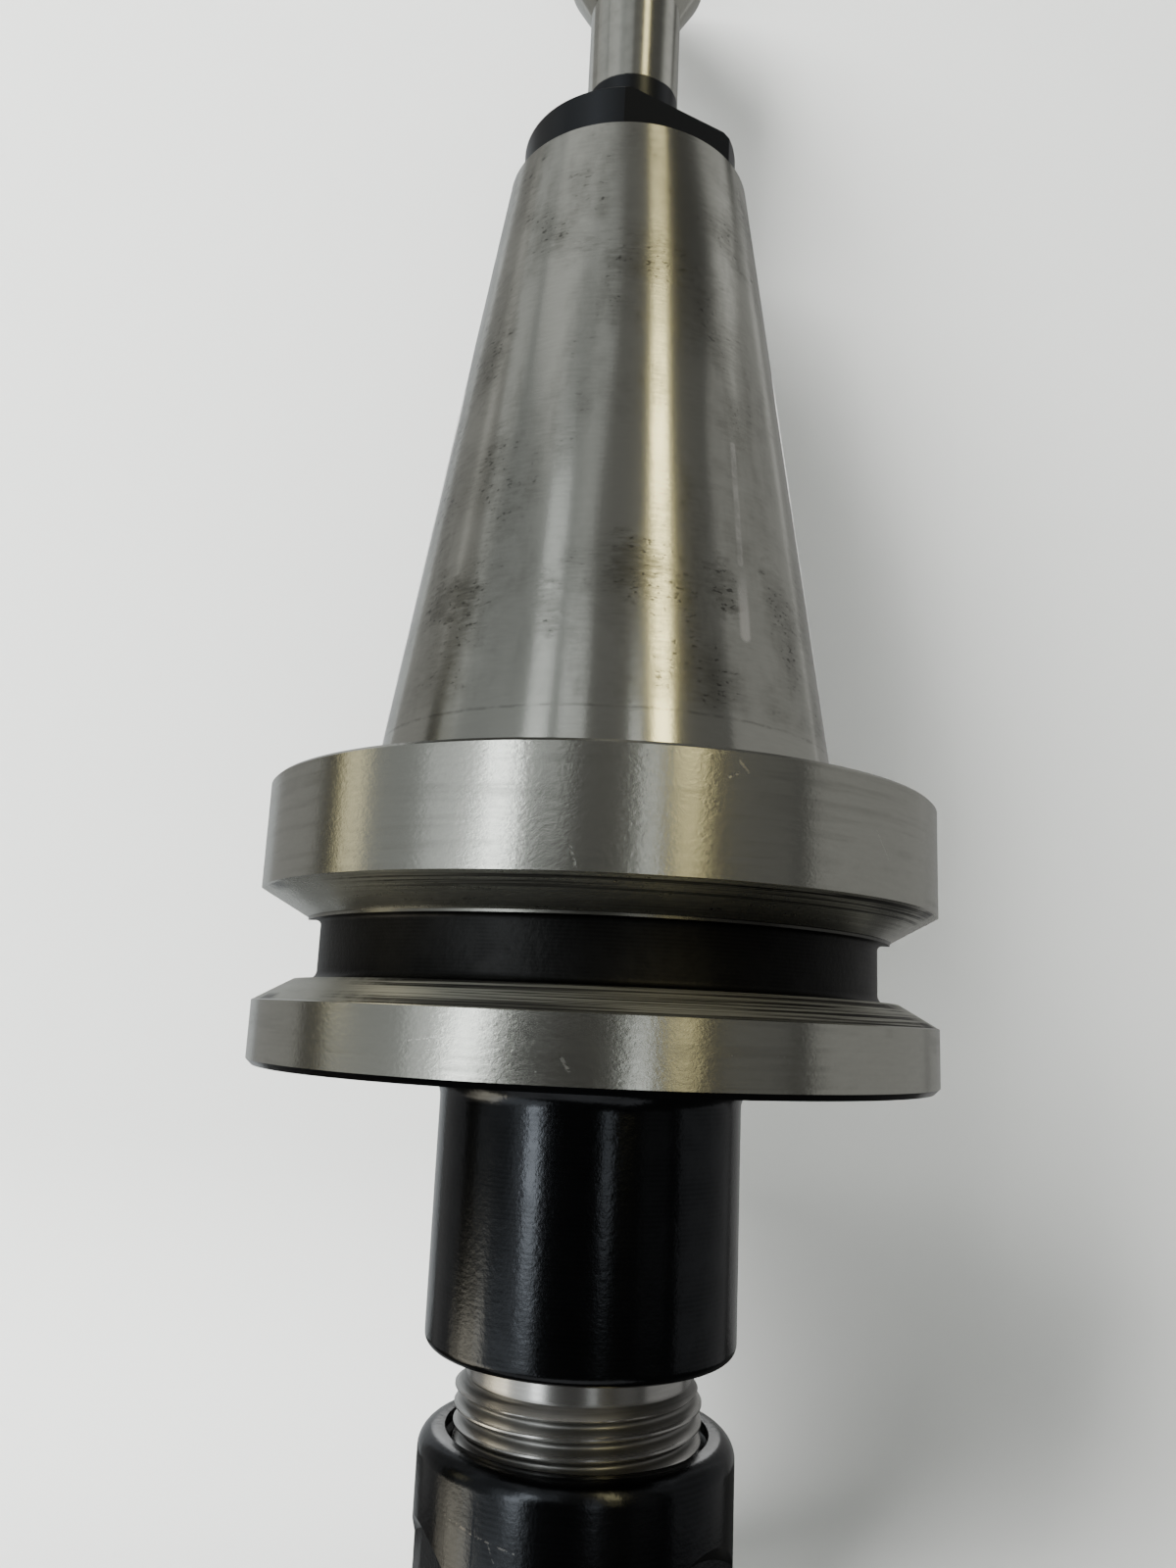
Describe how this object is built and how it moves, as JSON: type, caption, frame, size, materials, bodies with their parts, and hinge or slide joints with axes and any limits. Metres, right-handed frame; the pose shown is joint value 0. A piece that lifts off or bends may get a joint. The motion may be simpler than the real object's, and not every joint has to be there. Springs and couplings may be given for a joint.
{
  "type": "collet chuck holder",
  "caption": "Steep taper tool holder with a grooved flange, a slim neck, a pull stud, and a spring collet drawn in by a clamping nut.",
  "frame": {"origin": "on the tool axis at the gauge line of the taper, where the shank is 44.45 mm across", "axes": "+Z along the tool axis towards the pull stud, the nose points to -Z, and the two drive slots lie on +X and -X"},
  "size_m": [0.0608, 0.063, 0.1753],
  "materials": {
    "ground_steel": "ground steel with black oxide left on the neck and in the groove",
    "stud_steel": "ground steel with a black oxide collar",
    "nut_steel": "black oxide, satin, with fine turning lines",
    "collet_steel": "fine ground spring steel"
  },
  "bodies": {
    "holder": {"holder_body": "ground_steel", "pull_stud": "stud_steel"},
    "collet": {"collet": "collet_steel"},
    "nut": {"clamping_nut": "nut_steel"}
  },
  "joints": [
    {"name": "collet_slide", "type": "slide", "parent": "holder", "child": "collet", "axis": [0, 0, -1], "range_m": [-0.0049, 0.003]},
    {"name": "nut_spin", "type": "hinge", "parent": "collet", "child": "nut", "pos_m": [0, 0, 0], "axis": [0, 0, -1], "range_deg": [-1176, 720]}
  ],
  "couplings": [
    {"joint": "collet_slide", "follows": "nut_spin", "m_per_rad": 0.00023873}
  ]
}
